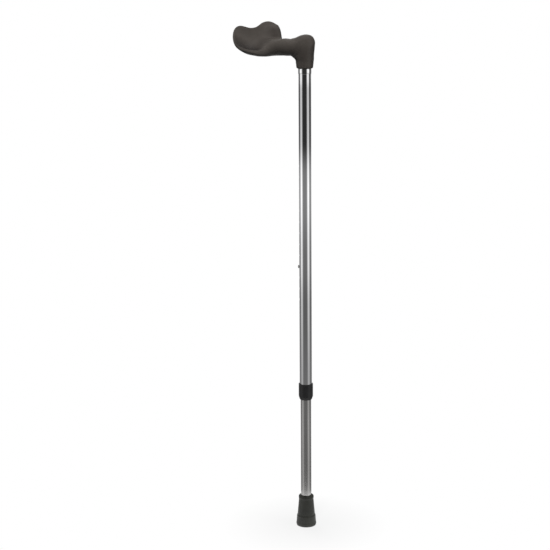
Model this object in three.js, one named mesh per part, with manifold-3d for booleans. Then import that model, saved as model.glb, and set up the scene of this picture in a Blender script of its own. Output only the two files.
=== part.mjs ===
// Adjustable walking stick with an anatomical palm handle for the right hand.
// Millimetres, +Z up. The origin is on the tubes' axis, at the underside of the rubber tip.
// The palm rest points towards -X, and its hollow opens upwards and towards -Y.
// The stick is set at its fourth hole: the inner tube slides 60 mm out or 180 mm in from there.
import * as THREE from "three";
import { ParametricGeometry } from "three/addons/geometries/ParametricGeometry.js";
import { mergeVertices } from "three/addons/utils/BufferGeometryUtils.js";
import Module from "manifold-3d";

const wasm = await Module();
wasm.setup();
const { Manifold, Mesh: SolidMesh } = wasm;

// ---------------------------------------------------------------- driving dimensions
const STICK_HEIGHT = 895.5; // floor to the top of the handle's knob
const SEAT_GAP = 0.3; // between pieces that rest on or in each other
const RUNNING_GAP = 0.2; // between pieces that slide or turn in each other

const OUTER_TUBE_R = 11; // drawn aluminium tube, 22 x 1.2
const OUTER_TUBE_WALL = 1.2;
const INNER_TUBE_WALL = 1.2;
const TUBE_PLAY = 0.3; // between the two tubes
const INNER_TUBE_TOP = 515;

const HOLE_PLAY = 0.3; // between the button and the edge of its hole
const HOLE_PITCH = 20;
const HOLE_COUNT = 13;
const HOLES_BELOW = 3; // holes lower than the one in use
const BUTTON_Z = 487.2; // height of the hole in use

const BUTTON_R = 3;
const BUTTON_PROUD = 2.3; // how far the button stands out of the outer tube
const BUTTON_DOME = 1;
const BUTTON_FLANGE_LIP = 1.25; // how far the flange reaches past the button
const BUTTON_FLANGE = 0.8;
const SPRING_STRIP = 0.6;
const SPRING_WIDTH = 6;
const SPRING_LENGTH = 42;
const SPRING_BEND_R = 2.6;

const COLLAR_FOOT_Z = 241.3;
const COLLAR_HEIGHT = 29.3;
const COLLAR_WALL = 0.9; // round the bush
const COLLAR_CHAMFER = 5.7; // height of the sloping foot
const COLLAR_FOOT_LAND = 0.7; // flat ring round the bore underneath
const COLLAR_LIP = 3; // thickness of the lip under the clamp ring
const COLLAR_CONE = 5.7; // height of the cone that squeezes the clamp ring
const CLAMP_RING_SLIT = 1.5;
const BUSH_LIP = 7.5; // solid part of the bush under the outer tube's end
const BUSH_WALL = 0.6;
const BUSH_TOP_DROP = 0.8; // the collar's rim stands this far above the bush

const PLUG_HEIGHT = 36;
const PLUG_HEAD = 1.7;
const GUIDE_HEAD = 4;
const GUIDE_SPIGOT = 9.5;
const GUIDE_SPIGOT_WALL = 2;

const TRIM_RING_HEIGHT = 9.2;
const TRIM_RING_WALL = 0.45;

const SCREW_R = 1.7;
const SCREW_HEAD_R = 3.4;
const SCREW_HEAD = 2;
const SCREW_SINK = 0.5; // how deep the head lies below the socket's side
const SCREW_LENGTH = 12.5; // under the head
const SCREW_ABOVE_MOUTH = 17;
const SCREW_RECESS_WIDTH = 0.9;
const SCREW_RECESS_DEPTH = 1.2;

const TIP_HEIGHT = 58;
const TIP_FLOOR = 14; // rubber under the washer
const TIP_FOOT_WALL = 8.3; // rubber beyond the inner tube's side, at the foot's edge
const TIP_BASE_WALL = 8.9; // at the widest place
const TIP_BASE_TOP_WALL = 7.5;
const TIP_BASE_HEIGHT = 18.5;
const TIP_CONE_FOOT_WALL = 6.4;
const TIP_NECK_WALL = 3.8;
const TIP_LIP_WALL = 4.3;
const TIP_LIP_HEIGHT = 7;
const TREAD_DEPTH = 2;
const TREAD_WIDTH = 2.4;
const TREAD_RADII = [7.5, 12.6]; // middles of the grooves under the foot
const WASHER = 1.2;

const SOCKET_WALL = 4.5; // handle plastic round the tube, at the socket's foot
const SOCKET_HEIGHT = 57.5; // knob's top above the socket's mouth
const SOCKET_ROUND = 2.2; // rounded edge round the mouth
const SOCKET_TAPER = 0.9; // how much the socket narrows towards its mouth
const KNOB_ROOF = 11; // plastic above the plug
const CORNER_X = 24; // middle of the inside corner under the neck, from the axis
const CORNER_DROP = 45.5; // and below the knob's top
const NECK_R = 14.2;
const NECK_DROP = 21.1; // neck's axis below the knob's top
const REST_LENGTH = 99.6; // neck and palm rest, from the inside corner to the tail
const TAIL_ROUND = 27; // length over which the rest's outline closes
const TAIL_EDGE = 5; // length over which its thickness closes
const BLEND_LEAD = 0.35; // the thick near side thins out from this share of the near strip
const BLEND_SPAN = 0.6; // to this share of the far strip
const PAD_EDGE = 12; // the thumb's pad fades out over this width at the rim

// Cross-sections of the neck and palm rest. A section is a strip bent upwards on both sides:
// share of the rest's length from the corner, strip length towards the near and far rim,
// half thickness near and far, bend near and far (degrees), tilt (degrees), and its middle (y, z),
// with z counted from the neck's axis.
const REST_SECTIONS = [
  [0.0, NECK_R, NECK_R, NECK_R + 0.3, NECK_R + 0.3, 0, 0, 0, 0, -0.3],
  [0.1, NECK_R - 0.2, NECK_R + 0.2, NECK_R + 0.6, NECK_R + 0.4, 0, 0, 0, 0, 0.3],
  [0.135, NECK_R - 0.2, 19.0, NECK_R + 0.8, 12.5, 0, 14, 7, -0.2, 0.6],
  [0.165, NECK_R - 0.2, 36.5, NECK_R + 1, 7.6, 0, 36, 22, -0.6, 0.7],
  [0.2, NECK_R - 0.1, 44.0, NECK_R + 1, 6.4, 0, 43, 28, -1.0, 0.7],
  [0.254, NECK_R + 0.1, 47.5, 14.9, 6.0, 0, 46, 31, -1.5, 0.5],
  [0.346, 15.0, 52.5, 13.8, 5.4, 8, 46, 33, -2.5, -0.2],
  [0.467, 22.0, 53.0, 10.2, 4.8, 32, 46, 32, -1, -1.2],
  [0.61, 33.5, 43.0, 6.0, 4.3, 52, 48, 32, 2, -2.0],
  [0.752, 37.0, 38.5, 4.8, 4.0, 57, 52, 34, 3, 1.0],
  [0.894, 36.5, 38.5, 4.4, 3.8, 62, 56, 40, 3, 9.4],
  [1.0, 34.0, 38.0, 4.0, 3.6, 60, 56, 46, 2, 18.6],
];
// The knob over the corner between neck and socket: angle from upright (degrees), and how far
// the inside, the outside and the sides stand out from a plain bend.
const KNOB_SECTIONS = [
  [0, -0.6, 0, 0],
  [12, -1.4, 3.0, 0.1],
  [22, -1.8, 9.4, 0.9],
  [32, -1.9, 15.2, 2.0],
  [41, -1.8, 17.6, 2.4],
  [50, -1.6, 15.2, 2.5],
  [60, -1.2, 8.6, 2.0],
  [72, -0.7, 3.1, 1.2],
  [90, 0, 0, 0],
];
// The thumb's pad on the far lobe and the crease under it: height or depth, middle on the strip,
// half width there, and the middle and half width along the rest.
const THUMB_PAD = { rise: 5.5, strip: 40, spread: 10, share: 0.27, length: 0.12 };
const THUMB_CREASE = { rise: -4.5, strip: 19, spread: 5.5, share: 0.27, length: 0.11 };
// The neck's edges are half ellipses. The palm rest's rim is blunter: the power that shapes its
// edge falls to this one between two shares of the rest's length.
const RIM = { power: 0.45, from: 0.3, to: 0.62 };
const TAIL_CROWDING = 1.7; // sections stand closer together towards the tail

const ROUND_STEPS = 48; // facets round a turned piece
const CUTTER_STEPS = 24; // and round a drilled hole
const HANDLE_STEPS = { round: 36, rest: 30, knob: 14, socket: 5 };

// ---------------------------------------------------------------- derived sizes
const OUTER_BORE_R = OUTER_TUBE_R - OUTER_TUBE_WALL;
const INNER_TUBE_R = OUTER_BORE_R - TUBE_PLAY;
const INNER_BORE_R = INNER_TUBE_R - INNER_TUBE_WALL;
const HOLE_R = BUTTON_R + HOLE_PLAY;
const BUTTON_FLANGE_R = BUTTON_R + BUTTON_FLANGE_LIP;
const TIP_FOOT_R = INNER_TUBE_R + TIP_FOOT_WALL;
const TIP_BASE_R = INNER_TUBE_R + TIP_BASE_WALL;
const TIP_BASE_TOP_R = INNER_TUBE_R + TIP_BASE_TOP_WALL;
const TIP_CONE_FOOT_R = INNER_TUBE_R + TIP_CONE_FOOT_WALL;
const TIP_NECK_R = INNER_TUBE_R + TIP_NECK_WALL;
const TIP_LIP_R = INNER_TUBE_R + TIP_LIP_WALL;
const WASHER_Z = TIP_FLOOR + SEAT_GAP;
const INNER_TUBE_FOOT = WASHER_Z + WASHER + SEAT_GAP;
const COLLAR_BORE_R = OUTER_TUBE_R + RUNNING_GAP + BUSH_WALL + RUNNING_GAP;
const COLLAR_R = COLLAR_BORE_R + COLLAR_WALL;
const COLLAR_TOP_Z = COLLAR_FOOT_Z + COLLAR_HEIGHT;
const CLAMP_RING_Z = COLLAR_FOOT_Z + COLLAR_LIP + SEAT_GAP;
const BUSH_Z = COLLAR_FOOT_Z + COLLAR_LIP + COLLAR_CONE + SEAT_GAP;
const OUTER_TUBE_FOOT = BUSH_Z + BUSH_LIP + SEAT_GAP;
const MOUTH_Z = STICK_HEIGHT - SOCKET_HEIGHT;
const SOCKET_TOP_Z = STICK_HEIGHT - KNOB_ROOF;
const OUTER_TUBE_TOP = SOCKET_TOP_Z - SEAT_GAP - PLUG_HEAD - SEAT_GAP;
const SOCKET_R = OUTER_TUBE_R + SOCKET_WALL;
const SCREW_Z = MOUTH_Z + SCREW_ABOVE_MOUTH;
const NECK_Z = STICK_HEIGHT - NECK_DROP;
const CORNER_Z = STICK_HEIGHT - CORNER_DROP;
const TAIL_X = -CORNER_X - REST_LENGTH;

// ---------------------------------------------------------------- tools for solids
// A closed geometry as a solid: shared vertices merged, empty triangles dropped, faces outwards.
function solid(geometry) {
  const bare = new THREE.BufferGeometry();
  bare.setAttribute("position", geometry.getAttribute("position"));
  if (geometry.index) bare.setIndex(geometry.index);
  const merged = mergeVertices(bare, 1e-4);
  const corners = merged.index.array;
  const triangles = [];
  for (let i = 0; i < corners.length; i += 3) {
    const [a, b, c] = corners.slice(i, i + 3);
    if (a !== b && b !== c && c !== a) triangles.push(a, b, c);
  }
  const vertProperties = merged.attributes.position.array;
  const made = new Manifold(
    new SolidMesh({ numProp: 3, vertProperties, triVerts: new Uint32Array(triangles) }),
  );
  if (made.volume() > 0) return made;
  triangles.reverse();
  return new Manifold(
    new SolidMesh({ numProp: 3, vertProperties, triVerts: new Uint32Array(triangles) }),
  );
}

// A profile of [radius, height] points turned round the Z axis.
function turned(profile, closed = false) {
  const points = profile.map(([r, z]) => new THREE.Vector2(r, z));
  if (closed) points.push(points[0].clone());
  return solid(new THREE.LatheGeometry(points, ROUND_STEPS).rotateX(Math.PI / 2));
}

// A ring with a plain bore.
function ring(inner, outer, foot, top) {
  return turned([[inner, foot], [outer, foot], [outer, top], [inner, top]], true);
}

// A solid disc or rod on the Z axis.
function rod(radius, foot, top) {
  return turned([[0, foot], [radius, foot], [radius, top], [0, top]]);
}

// A round cutter along an axis direction, from one distance to another.
function bar(radius, from, to, place, direction) {
  const shape = new THREE.CylinderGeometry(radius, radius, to - from, CUTTER_STEPS);
  shape.translate(0, (from + to) / 2, 0);
  const turn = new THREE.Quaternion().setFromUnitVectors(new THREE.Vector3(0, 1, 0), direction);
  return solid(shape.applyQuaternion(turn).translate(place.x, place.y, place.z));
}

function block(width, depth, height, x, y, z) {
  return solid(new THREE.BoxGeometry(width, depth, height).translate(x, y, z));
}

// A curve through a table's rows, with slopes from the neighbours on each side.
function follow(table, at) {
  const above = table.findIndex((row, i) => i > 0 && at <= row[0]);
  const k = (above < 0 ? table.length - 1 : above) - 1;
  const step = table[k + 1][0] - table[k][0];
  const t = (at - table[k][0]) / step;
  return table[k].slice(1).map((low, column) => {
    const c = column + 1;
    const high = table[k + 1][c];
    const m0 = slopeAt(table, k, c) * step;
    const m1 = slopeAt(table, k + 1, c) * step;
    const rise = (1 + 2 * t) * (1 - t) ** 2 * low + t * t * (3 - 2 * t) * high;
    return rise + t * (1 - t) ** 2 * m0 + t * t * (t - 1) * m1;
  });
}

function slopeAt(table, i, c) {
  const before = i > 0 ? table[i][0] - table[i - 1][0] : 0;
  const after = i < table.length - 1 ? table[i + 1][0] - table[i][0] : 0;
  const fallIn = before ? (table[i][c] - table[i - 1][c]) / before : 0;
  const fallOut = after ? (table[i + 1][c] - table[i][c]) / after : 0;
  if (!before) return fallOut;
  if (!after) return fallIn;
  return (fallIn * after + fallOut * before) / (before + after);
}

// ---------------------------------------------------------------- handle
// A point of the neck and palm rest. The section's strip is bent into two arcs, near and far,
// and its thickness closes at both edges and at the tail.
function restPoint(s, across, up, target) {
  const fromTail = REST_LENGTH * s ** TAIL_CROWDING;
  const place = 1 - fromTail / REST_LENGTH;
  const [near, far, thickNear, thickFar, bendNear, bendFar, tilt, y, z] = follow(REST_SECTIONS, place);
  const outline = closing(fromTail / TAIL_ROUND);
  const side = (across >= 0 ? far : near) * outline;
  const strip = side * across;
  const bend = THREE.MathUtils.degToRad(across >= 0 ? bendFar : bendNear) * outline;
  const lead = BLEND_LEAD * near * outline;
  const thinFrom = Math.max(BLEND_SPAN * far * outline, 1e-6);
  const share = THREE.MathUtils.smoothstep(strip, -lead, thinFrom);
  const power = THREE.MathUtils.lerp(1, RIM.power, THREE.MathUtils.smoothstep(place, RIM.from, RIM.to));
  const edge = Math.sign(up) * Math.abs(up) ** power;
  const even = THREE.MathUtils.lerp(thickNear, thickFar, share) * closing(fromTail / TAIL_EDGE) * edge;
  const pad = swell(THUMB_PAD, strip, place) + swell(THUMB_CREASE, strip, place);
  const half = even + Math.sqrt(Math.max(up, 0)) * pad * closing((far - Math.abs(strip)) / PAD_EDGE);
  const curvature = Math.max(bend / Math.max(side, 1e-6), 1e-6);
  const turn = curvature * Math.abs(strip);
  const along = (Math.sin(turn) / curvature) * Math.sign(strip) - half * Math.sin(turn) * Math.sign(strip);
  const rise = (1 - Math.cos(turn)) / curvature + half * Math.cos(turn);
  const lean = THREE.MathUtils.degToRad(tilt);
  target.set(
    TAIL_X + fromTail,
    y + along * Math.cos(lean) - rise * Math.sin(lean),
    NECK_Z + z + along * Math.sin(lean) + rise * Math.cos(lean),
  );
}

// A smooth hump on the strip's upper face.
function swell({ rise, strip: middle, spread, share, length }, strip, place) {
  const aside = (strip - middle) / spread;
  const along = (place - share) / length;
  return rise * Math.exp(-aside * aside - along * along);
}

// Quarter ellipse from 0 at the tail to 1 where the outline is full.
function closing(share) {
  const left = THREE.MathUtils.clamp(1 - share, 0, 1);
  return Math.sqrt(1 - left * left);
}

// A point of the bend between neck and socket, with the knob swelling out over it.
function knobPoint(s, across, up, target) {
  const angle = THREE.MathUtils.degToRad(90 * s);
  const [inside, outside, sides] = follow(KNOB_SECTIONS, 90 * s);
  const neckInside = NECK_Z - NECK_R - CORNER_Z;
  const neckOutside = NECK_Z + NECK_R - CORNER_Z;
  const inner = THREE.MathUtils.lerp(neckInside, CORNER_X - SOCKET_R, s) + inside;
  const outer = THREE.MathUtils.lerp(neckOutside, CORNER_X + SOCKET_R, s) + outside;
  const half = THREE.MathUtils.lerp(NECK_R, SOCKET_R, s) + sides;
  const radius = (inner + outer) / 2 + ((outer - inner) / 2) * up;
  target.set(-CORNER_X + radius * Math.sin(angle), half * across, CORNER_Z + radius * Math.cos(angle));
}

// A point of the socket below the bend: it tapers to a rounded edge and closes flat at the mouth.
function socketPoint(s, across, up, target) {
  const foot = SOCKET_R - SOCKET_TAPER;
  const profile = [
    [SOCKET_R, CORNER_Z],
    [foot, MOUTH_Z + SOCKET_ROUND * 1.5],
    [foot - SOCKET_ROUND * 0.13, MOUTH_Z + SOCKET_ROUND * 0.75],
    [foot - SOCKET_ROUND * 0.5, MOUTH_Z + SOCKET_ROUND * 0.2],
    [foot - SOCKET_ROUND, MOUTH_Z],
    [0, MOUTH_Z],
  ];
  const place = s * (profile.length - 1);
  const i = Math.min(Math.floor(place), profile.length - 2);
  const radius = THREE.MathUtils.lerp(profile[i][0], profile[i + 1][0], place - i);
  const height = THREE.MathUtils.lerp(profile[i][1], profile[i + 1][1], place - i);
  target.set(radius * up, radius * across, height);
}

function handleBody() {
  const { round, rest, knob, socket } = HANDLE_STEPS;
  const slices = rest + knob + socket;
  const surface = (u, v, target) => {
    const step = u * slices;
    const angle = 2 * Math.PI * v;
    const across = Math.cos(angle);
    const up = Math.sin(angle);
    if (step <= rest) restPoint(Math.max(step / rest, 0), across, up, target);
    else if (step <= rest + knob) knobPoint((step - rest) / knob, across, up, target);
    else socketPoint(Math.min((step - rest - knob) / socket, 1), across, up, target);
  };
  const skin = solid(new ParametricGeometry(surface, slices, round));
  const bore = rod(OUTER_TUBE_R + SEAT_GAP, MOUTH_Z - 1, SOCKET_TOP_Z);
  const back = new THREE.Vector3(0, 1, 0);
  const place = new THREE.Vector3(0, 0, SCREW_Z);
  const seat = screwSeat();
  const screwHole = bar(SCREW_R + SEAT_GAP, 0, seat + 1, place, back);
  const counterbore = bar(SCREW_HEAD_R + SEAT_GAP, seat, seat + SOCKET_R, place, back);
  return skin.subtract(bore).subtract(screwHole).subtract(counterbore);
}

// The face under the screw's head, measured out from the stick's axis.
function screwSeat() {
  return SOCKET_R - SCREW_SINK - SCREW_HEAD + SEAT_GAP;
}

// Pan-head self-tapping screw that holds the handle on the tube, with a cross recess.
function handleScrew() {
  const back = new THREE.Vector3(0, 1, 0);
  const place = new THREE.Vector3(0, 0, SCREW_Z);
  const seat = screwSeat() + SEAT_GAP;
  const top = seat + SCREW_HEAD;
  const shank = bar(SCREW_R, seat - SCREW_LENGTH, seat + SCREW_HEAD / 2, place, back);
  const head = bar(SCREW_HEAD_R, seat, top, place, back);
  const recessY = top - SCREW_RECESS_DEPTH / 2 + 0.5;
  const recessDepth = SCREW_RECESS_DEPTH + 1;
  const length = SCREW_HEAD_R * 1.2;
  const upright = block(SCREW_RECESS_WIDTH, recessDepth, length, 0, recessY, SCREW_Z);
  const level = block(length, recessDepth, SCREW_RECESS_WIDTH, 0, recessY, SCREW_Z);
  return shank.add(head).subtract(upright.add(level));
}

// Plastic plug in the tube's top, which the handle's screw bites into.
function tubePlug() {
  const foot = OUTER_TUBE_TOP - PLUG_HEIGHT;
  const shaftR = OUTER_BORE_R - RUNNING_GAP;
  const shaft = turned([
    [0, foot],
    [shaftR - 1, foot],
    [shaftR, foot + 1],
    [shaftR, OUTER_TUBE_TOP + SEAT_GAP],
    [OUTER_TUBE_R, OUTER_TUBE_TOP + SEAT_GAP],
    [OUTER_TUBE_R, OUTER_TUBE_TOP + SEAT_GAP + PLUG_HEAD],
    [0, OUTER_TUBE_TOP + SEAT_GAP + PLUG_HEAD],
  ]);
  const pilotFoot = screwSeat() + SEAT_GAP - SCREW_LENGTH - SEAT_GAP;
  const place = new THREE.Vector3(0, 0, SCREW_Z);
  const pilot = bar(SCREW_R + SEAT_GAP, pilotFoot, OUTER_TUBE_R, place, new THREE.Vector3(0, 1, 0));
  return shaft.subtract(pilot);
}

// Polished ring that covers the joint between handle and tube.
function trimRing() {
  const inner = OUTER_TUBE_R + RUNNING_GAP;
  const top = MOUTH_Z - SEAT_GAP;
  return ring(inner, inner + TRIM_RING_WALL, top - TRIM_RING_HEIGHT, top);
}

// ---------------------------------------------------------------- tubes
// Upper tube, with a row of holes for the button and one for the handle's screw.
function outerTube() {
  const firstHole = BUTTON_Z - HOLES_BELOW * HOLE_PITCH;
  const side = new THREE.Vector3(-1, 0, 0);
  let tube = ring(OUTER_BORE_R, OUTER_TUBE_R, OUTER_TUBE_FOOT, OUTER_TUBE_TOP);
  for (let i = 0; i < HOLE_COUNT; i += 1) {
    const place = new THREE.Vector3(0, 0, firstHole + i * HOLE_PITCH);
    tube = tube.subtract(bar(HOLE_R, 0, OUTER_TUBE_R + 1, place, side));
  }
  const screwPlace = new THREE.Vector3(0, 0, SCREW_Z);
  const screwHole = bar(SCREW_R + SEAT_GAP, 0, OUTER_TUBE_R + 1, screwPlace, new THREE.Vector3(0, 1, 0));
  return tube.subtract(screwHole);
}

// Lower tube, which slides in the upper one and carries the button.
function innerTube() {
  const tube = ring(INNER_BORE_R, INNER_TUBE_R, INNER_TUBE_FOOT, INNER_TUBE_TOP);
  const place = new THREE.Vector3(0, 0, BUTTON_Z);
  return tube.subtract(bar(HOLE_R, 0, INNER_TUBE_R + 1, place, new THREE.Vector3(-1, 0, 0)));
}

// Plastic bush pushed into the lower tube's top, which keeps it central in the upper tube.
function guideBush() {
  const spigotR = INNER_BORE_R - RUNNING_GAP;
  const boreR = spigotR - GUIDE_SPIGOT_WALL;
  const headR = OUTER_BORE_R - RUNNING_GAP;
  const headFoot = INNER_TUBE_TOP + SEAT_GAP;
  const top = headFoot + GUIDE_HEAD;
  return turned(
    [
      [boreR, headFoot - GUIDE_SPIGOT],
      [spigotR, headFoot - GUIDE_SPIGOT],
      [spigotR, headFoot],
      [headR, headFoot],
      [headR, top - 1],
      [headR - 1, top],
      [boreR, top],
    ],
    true,
  );
}

// ---------------------------------------------------------------- snap button
// Place of the flange's outer face, so that its rim just clears the inner tube's bore.
function flangeFaceX() {
  const reach = INNER_BORE_R - SEAT_GAP;
  return -Math.sqrt(reach ** 2 - BUTTON_FLANGE_R ** 2);
}

// Domed button with a flange that stops it inside the inner tube.
function snapButton() {
  const flange = -flangeFaceX();
  const tip = OUTER_TUBE_R + BUTTON_PROUD;
  const dome = [0.35, 0.6, 0.8, 0.93].map((share) => [
    BUTTON_R * Math.sqrt(1 - share * share),
    tip - BUTTON_DOME + BUTTON_DOME * share,
  ]);
  const profile = [
    [0, flange - BUTTON_FLANGE],
    [BUTTON_FLANGE_R, flange - BUTTON_FLANGE],
    [BUTTON_FLANGE_R, flange],
    [BUTTON_R, flange],
    [BUTTON_R, tip - BUTTON_DOME],
    ...dome,
    [0, tip],
  ].map(([r, z]) => new THREE.Vector2(r, z));
  const shape = new THREE.LatheGeometry(profile, 24);
  return solid(shape.rotateZ(Math.PI / 2).translate(0, 0, BUTTON_Z));
}

// Leaf spring bent to a V: one leg behind the button's flange, the other on the far wall.
function buttonSpring() {
  const legTop = BUTTON_Z + BUTTON_FLANGE_R;
  const bendZ = legTop - SPRING_LENGTH;
  const backOfFlange = flangeFaceX() + BUTTON_FLANGE;
  const reach = INNER_BORE_R - SEAT_GAP;
  const farWall = Math.sqrt(reach ** 2 - (SPRING_WIDTH / 2) ** 2);
  const springPath = [
    [backOfFlange + SEAT_GAP, legTop],
    [backOfFlange + SEAT_GAP, legTop - 2 * BUTTON_FLANGE_R],
    [-SPRING_BEND_R, bendZ + SPRING_BEND_R],
  ];
  for (const degrees of [205, 230, 270, 310, 335]) {
    const angle = THREE.MathUtils.degToRad(degrees);
    springPath.push([
      SPRING_BEND_R * Math.cos(angle),
      bendZ + SPRING_BEND_R * (1 + Math.sin(angle)),
    ]);
  }
  springPath.push([SPRING_BEND_R, bendZ + SPRING_BEND_R], [farWall, legTop - BUTTON_FLANGE_R]);
  return solid(stripGeometry(springPath, SPRING_STRIP, SPRING_WIDTH));
}

// A strip of even thickness whose outer face follows a path in the XZ plane.
function stripGeometry(path, thickness, width) {
  const outer = path.map(([x, z]) => new THREE.Vector2(x, z));
  const inner = outer.map((point, i) => {
    const before = outer[Math.max(i - 1, 0)];
    const after = outer[Math.min(i + 1, outer.length - 1)];
    const run = after.clone().sub(before).normalize();
    return point.clone().add(new THREE.Vector2(-run.y, run.x).multiplyScalar(thickness));
  });
  const outline = new THREE.Shape([...outer, ...inner.reverse()]);
  const strip = new THREE.ExtrudeGeometry(outline, { depth: width, bevelEnabled: false });
  return strip.rotateX(Math.PI / 2).translate(0, width / 2, 0);
}

// ---------------------------------------------------------------- locking collar
// Threaded nut: its inner cone closes the clamp ring on the lower tube. The thread is plain.
function lockingCollar() {
  const lipBore = INNER_TUBE_R + SEAT_GAP;
  const coneFootZ = COLLAR_FOOT_Z + COLLAR_LIP;
  return turned(
    [
      [lipBore, COLLAR_FOOT_Z],
      [lipBore + COLLAR_FOOT_LAND, COLLAR_FOOT_Z],
      [COLLAR_R, COLLAR_FOOT_Z + COLLAR_CHAMFER],
      [COLLAR_R, COLLAR_TOP_Z - SEAT_GAP],
      [COLLAR_R - SEAT_GAP, COLLAR_TOP_Z],
      [COLLAR_BORE_R, COLLAR_TOP_Z],
      [COLLAR_BORE_R, coneFootZ + COLLAR_CONE],
      [coneFootR(), coneFootZ],
      [lipBore, coneFootZ],
    ],
    true,
  );
}

// Radius of the collar's inner cone at its foot.
function coneFootR() {
  return INNER_TUBE_R + RUNNING_GAP + COLLAR_FOOT_LAND + SEAT_GAP;
}

// Split plastic ring that grips the lower tube when the collar is tightened.
function clampRing() {
  const bore = INNER_TUBE_R + RUNNING_GAP;
  const height = COLLAR_CONE - 2 * SEAT_GAP;
  const slope = (COLLAR_BORE_R - coneFootR()) / COLLAR_CONE;
  const footR = coneFootR() - SEAT_GAP + slope * SEAT_GAP;
  const topR = footR + slope * height;
  const whole = turned(
    [
      [bore, CLAMP_RING_Z],
      [footR, CLAMP_RING_Z],
      [topR, CLAMP_RING_Z + height],
      [bore, CLAMP_RING_Z + height],
    ],
    true,
  );
  const slitZ = CLAMP_RING_Z + height / 2;
  return whole.subtract(block(COLLAR_R, CLAMP_RING_SLIT, 2 * height, COLLAR_R / 2, 0, slitZ));
}

// Sleeve fixed over the upper tube's end, which carries the collar's thread. The thread is plain.
function collarBush() {
  const lipBore = INNER_TUBE_R + RUNNING_GAP;
  const sleeveBore = OUTER_TUBE_R + RUNNING_GAP;
  const outside = sleeveBore + BUSH_WALL;
  const top = COLLAR_TOP_Z - BUSH_TOP_DROP;
  return turned(
    [
      [lipBore, BUSH_Z],
      [outside, BUSH_Z],
      [outside, top],
      [sleeveBore, top],
      [sleeveBore, BUSH_Z + BUSH_LIP],
      [lipBore, BUSH_Z + BUSH_LIP],
    ],
    true,
  );
}

// ---------------------------------------------------------------- rubber tip
// Ferrule with a flared base, a lip at its mouth and ring-shaped grooves under its foot.
function rubberTip() {
  const bore = INNER_TUBE_R + RUNNING_GAP;
  const tread = TREAD_RADII.flatMap((middle) => [
    [middle - TREAD_WIDTH / 2 - 0.5, 0],
    [middle - TREAD_WIDTH / 2, TREAD_DEPTH],
    [middle + TREAD_WIDTH / 2, TREAD_DEPTH],
    [middle + TREAD_WIDTH / 2 + 0.5, 0],
  ]);
  return turned([
    [0, 0],
    ...tread,
    [TIP_FOOT_R - 0.6, 0],
    [TIP_FOOT_R, 0.8],
    [TIP_BASE_R, 4],
    [TIP_FOOT_R, 7],
    [TIP_BASE_TOP_R, TIP_BASE_HEIGHT],
    [TIP_BASE_TOP_R - 0.5, TIP_BASE_HEIGHT + 1.5],
    [TIP_CONE_FOOT_R, TIP_BASE_HEIGHT + 2],
    [TIP_NECK_R, TIP_HEIGHT - TIP_LIP_HEIGHT],
    [TIP_LIP_R, TIP_HEIGHT - 4.5],
    [TIP_LIP_R - 0.3, TIP_HEIGHT - 2],
    [TIP_LIP_R - 1.3, TIP_HEIGHT - 0.4],
    [TIP_LIP_R - 2.3, TIP_HEIGHT],
    [bore, TIP_HEIGHT],
    [bore, TIP_FLOOR],
    [0, TIP_FLOOR],
  ]);
}

// Steel disc that stops the tube's edge from cutting through the rubber.
function tipWasher() {
  return rod(INNER_TUBE_R, WASHER_Z, WASHER_Z + WASHER);
}

// ---------------------------------------------------------------- assembly
const MATERIALS = {
  handlePlastic: { color: 0x3c3934, roughness: 0.55, metalness: 0 },
  blackPlastic: { color: 0x2a2a2b, roughness: 0.5, metalness: 0 },
  whitePlastic: { color: 0xd8d6cf, roughness: 0.5, metalness: 0 },
  polishedMetal: { color: 0xe6e7e8, roughness: 0.12, metalness: 1 },
  anodised: { color: 0xb9bbbd, roughness: 0.3, metalness: 1 },
  springSteel: { color: 0x9a9da0, roughness: 0.35, metalness: 1 },
  rubber: { color: 0x33342f, roughness: 0.8, metalness: 0 },
};

function piece(name, made, finish) {
  const { vertProperties, triVerts } = made.getMesh();
  const indexed = new THREE.BufferGeometry();
  indexed.setAttribute("position", new THREE.BufferAttribute(vertProperties, 3));
  indexed.setIndex(new THREE.BufferAttribute(triVerts, 1));
  const geometry = indexed.toNonIndexed();
  geometry.computeVertexNormals();
  const mesh = new THREE.Mesh(geometry, new THREE.MeshStandardMaterial(MATERIALS[finish]));
  mesh.name = name;
  return mesh;
}

// One group for each rigid body: the collar turns on the upper tube and drives the clamp ring.
const upper = new THREE.Group().add(
  piece("handle_body", handleBody(), "handlePlastic"),
  piece("handle_screw", handleScrew(), "springSteel"),
  piece("tube_plug", tubePlug(), "blackPlastic"),
  piece("trim_ring", trimRing(), "polishedMetal"),
  piece("outer_tube", outerTube(), "anodised"),
  piece("collar_bush", collarBush(), "blackPlastic"),
);
const collar = new THREE.Group().add(
  piece("clamp_ring", clampRing(), "whitePlastic"),
  piece("locking_collar", lockingCollar(), "blackPlastic"),
);
const lower = new THREE.Group().add(
  piece("inner_tube", innerTube(), "anodised"),
  piece("guide_bush", guideBush(), "whitePlastic"),
  piece("button_spring", buttonSpring(), "springSteel"),
  piece("snap_button", snapButton(), "springSteel"),
  piece("rubber_tip", rubberTip(), "rubber"),
  piece("tip_washer", tipWasher(), "springSteel"),
);

export default new THREE.Group().add(upper, collar, lower);
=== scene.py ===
"""Looks of an adjustable walking stick with an anatomical palm handle, built round its CAD frame.

Metres, +Z up, the tubes' axis at x = y = 0 and the rubber tip's underside at z = 0.
Sections follow the stick from the handle down to the tip.
"""
import math

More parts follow.
